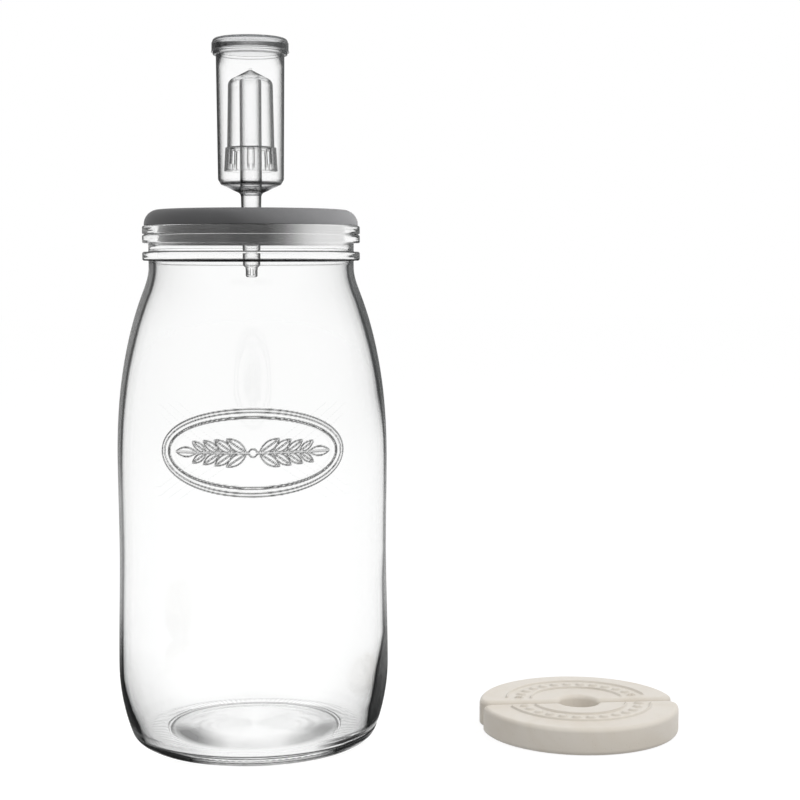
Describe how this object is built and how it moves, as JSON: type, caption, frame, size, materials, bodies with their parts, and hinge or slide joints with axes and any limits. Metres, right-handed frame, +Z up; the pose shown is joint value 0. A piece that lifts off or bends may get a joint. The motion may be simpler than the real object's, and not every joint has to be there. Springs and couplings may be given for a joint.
{
  "type": "fermentation jar with airlock",
  "caption": "Glass fermentation jar with a soft push-in lid, a three-piece water airlock and half-disc ceramic weights.",
  "frame": {"origin": "centre of the ring that the jar stands on, on the surface", "axes": "+Z up along the jar's axis, -Y towards the jar's front, the weights lie towards +X"},
  "size_m": [0.2903, 0.138, 0.3566],
  "materials": {
    "clear_glass": "clear polished soda glass",
    "grey_silicone": "matt grey silicone",
    "clear_plastic": "clear polished plastic",
    "cream_ceramic": "cream ceramic with a thin satin glaze"
  },
  "bodies": {
    "jar": {"jar": "clear_glass"},
    "lid": {"lid": "grey_silicone"},
    "airlock": {"airlock_body": "clear_plastic"},
    "float": {"airlock_float": "clear_plastic"},
    "cap": {"airlock_cap": "clear_plastic"},
    "weight_back": {"weight_back": "cream_ceramic"},
    "weight_front": {"weight_front": "cream_ceramic"}
  },
  "joints": [
    {"name": "lid_pull", "type": "slide", "parent": "jar", "child": "lid", "axis": [0, 0, 1], "range_m": [0, 0.12]},
    {"name": "airlock_pull", "type": "slide", "parent": "lid", "child": "airlock", "axis": [0, 0, 1], "range_m": [0, 0.05]},
    {"name": "float_rise", "type": "slide", "parent": "airlock", "child": "float", "axis": [0, 0, 1], "range_m": [0, 0.013]},
    {"name": "cap_pull", "type": "slide", "parent": "airlock", "child": "cap", "axis": [0, 0, 1], "range_m": [0, 0.04]},
    {"name": "weight_back_lift", "type": "slide", "parent": "jar", "child": "weight_back", "axis": [0, 0, 1], "range_m": [0, 0.1]},
    {"name": "weight_front_lift", "type": "slide", "parent": "jar", "child": "weight_front", "axis": [0, 0, 1], "range_m": [0, 0.1]}
  ]
}
